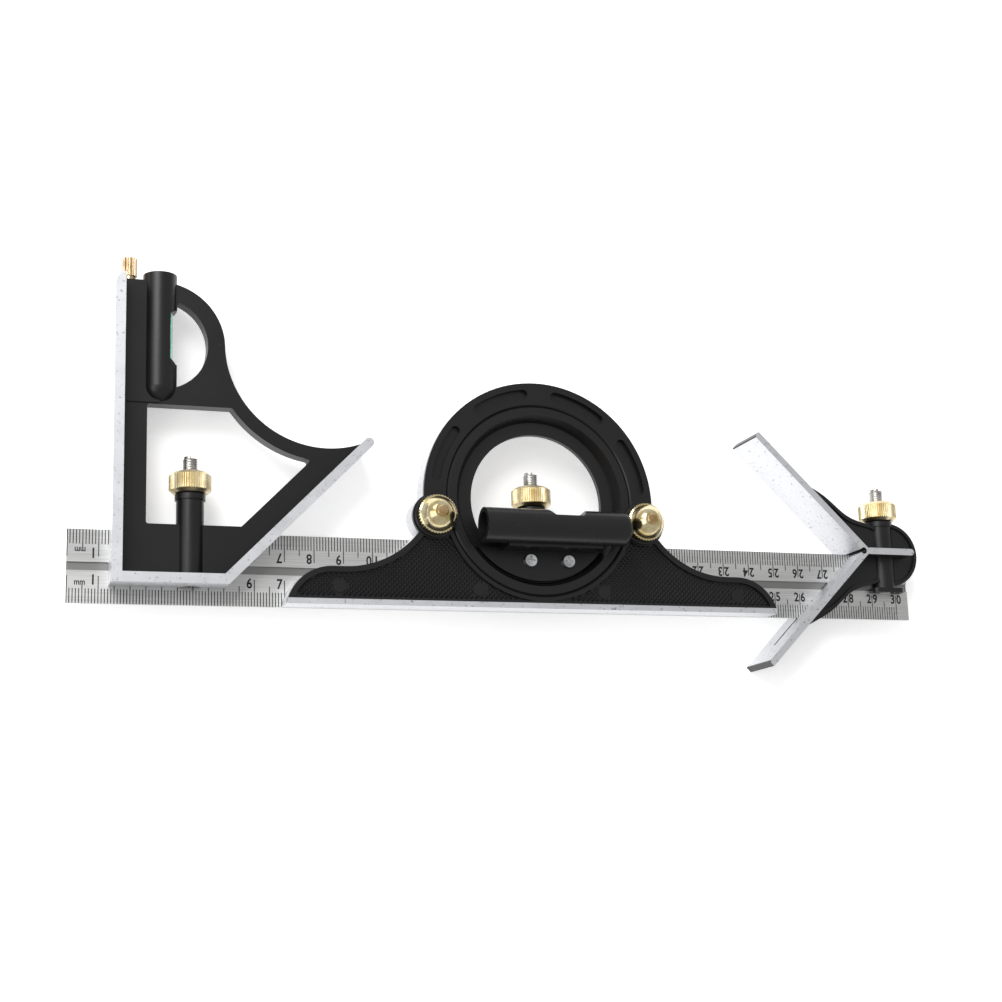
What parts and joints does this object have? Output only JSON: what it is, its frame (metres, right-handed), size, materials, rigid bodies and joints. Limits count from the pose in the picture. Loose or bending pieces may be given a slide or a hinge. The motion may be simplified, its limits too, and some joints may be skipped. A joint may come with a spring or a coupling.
{
  "type": "combination square set",
  "caption": "Combination square set: a grooved steel rule with sliding square, protractor and centre heads, each locked by a knurled nut.",
  "frame": {"origin": "centre of the rule's zero end, in the middle of its thickness", "axes": "+X along the rule from its zero end, +Y across its width towards the tall side of the heads, +Z out of the face that carries the groove"},
  "size_m": [0.3088, 0.1349, 0.0314],
  "materials": {
    "satin_steel": "satin",
    "black_paint": "satin",
    "steel": "machined",
    "bright_screw": "polished",
    "brass": "knurled and polished",
    "vial_glass": "clear",
    "vial_liquid": "clear green",
    "black_plastic": "matte"
  },
  "bodies": {
    "rule_body": {"rule": "satin_steel"},
    "square_body": {"square_head": "black_paint", "square_vial_glass": "vial_glass", "square_vial_liquid": "vial_liquid", "square_vial_plug": "black_plastic", "square_lock_spring": "steel"},
    "scriber_body": {"scriber_pin": "steel", "scriber_knob": "brass"},
    "turret_body": {"protractor_turret": "black_paint", "vial_bracket": "black_paint", "bracket_screws": "bright_screw", "protractor_vial_glass": "vial_glass", "protractor_vial_liquid": "vial_liquid", "protractor_vial_plug": "black_plastic", "protractor_lock_spring": "steel"},
    "frame_body": {"protractor_frame": "black_paint", "left_clamp_washer": "black_paint", "right_clamp_washer": "black_paint"},
    "centre_body": {"centre_head": "black_paint", "centre_lock_spring": "steel"},
    "square_bolt_body": {"square_lock_bolt": "steel"},
    "square_nut_body": {"square_lock_nut": "brass"},
    "protractor_bolt_body": {"protractor_lock_bolt": "steel"},
    "protractor_nut_body": {"protractor_lock_nut": "brass"},
    "centre_bolt_body": {"centre_lock_bolt": "steel"},
    "centre_nut_body": {"centre_lock_nut": "brass"},
    "left_clamp_bolt_body": {"left_clamp_bolt": "steel"},
    "left_dome_nut_body": {"left_dome_nut": "brass"},
    "right_clamp_bolt_body": {"right_clamp_bolt": "steel"},
    "right_dome_nut_body": {"right_dome_nut": "brass"}
  },
  "joints": [
    {"name": "square_head_slide", "type": "slide", "parent": "rule_body", "child": "square_body", "axis": [1, 0, 0], "range_m": [-0.012, 0.003]},
    {"name": "scriber_pull", "type": "slide", "parent": "square_body", "child": "scriber_body", "axis": [0, 1, 0], "range_m": [0, 0.06]},
    {"name": "turret_slide", "type": "slide", "parent": "rule_body", "child": "turret_body", "axis": [1, 0, 0], "range_m": [-0.002, 0.002]},
    {"name": "protractor_swing", "type": "hinge", "parent": "turret_body", "child": "frame_body", "pos_m": [0.1576, 0.0258, 0.005], "axis": [0, 0, 1], "range_deg": [-6, 25]},
    {"name": "centre_head_slide", "type": "slide", "parent": "rule_body", "child": "centre_body", "axis": [1, 0, 0], "range_m": [-0.002, 0.008]},
    {"name": "square_lock_nut_turn", "type": "hinge", "parent": "square_body", "child": "square_nut_body", "pos_m": [0.039, 0.028, 0], "axis": [0, 1, 0], "range_deg": [-60, 180]},
    {"name": "square_lock_bolt_draw", "type": "slide", "parent": "square_body", "child": "square_bolt_body", "axis": [0, 1, 0], "range_m": [-0.0004, 0.00013], "deforming": ["square_lock_spring"]},
    {"name": "protractor_lock_nut_turn", "type": "hinge", "parent": "turret_body", "child": "protractor_nut_body", "pos_m": [0.1576, 0.028, 0], "axis": [0, 1, 0], "range_deg": [-60, 180]},
    {"name": "protractor_lock_bolt_draw", "type": "slide", "parent": "turret_body", "child": "protractor_bolt_body", "axis": [0, 1, 0], "range_m": [-0.0004, 0.00013], "deforming": ["protractor_lock_spring"]},
    {"name": "centre_lock_nut_turn", "type": "hinge", "parent": "centre_body", "child": "centre_nut_body", "pos_m": [0.2955, 0.028, 0], "axis": [0, 1, 0], "range_deg": [-60, 180]},
    {"name": "centre_lock_bolt_draw", "type": "slide", "parent": "centre_body", "child": "centre_bolt_body", "axis": [0, 1, 0], "range_m": [-0.0004, 0.00013], "deforming": ["centre_lock_spring"]},
    {"name": "left_dome_nut_turn", "type": "hinge", "parent": "frame_body", "child": "left_dome_nut_body", "pos_m": [0.11976, 0.0187, 0.014], "axis": [0, 0, 1], "range_deg": [0, 150]},
    {"name": "left_clamp_bolt_draw", "type": "slide", "parent": "frame_body", "child": "left_clamp_bolt_body", "axis": [0, 0, 1], "range_m": [-0.00029, 0]},
    {"name": "right_dome_nut_turn", "type": "hinge", "parent": "frame_body", "child": "right_dome_nut_body", "pos_m": [0.19544, 0.0187, 0.014], "axis": [0, 0, 1], "range_deg": [0, 150]},
    {"name": "right_clamp_bolt_draw", "type": "slide", "parent": "frame_body", "child": "right_clamp_bolt_body", "axis": [0, 0, 1], "range_m": [-0.00029, 0]}
  ]
}
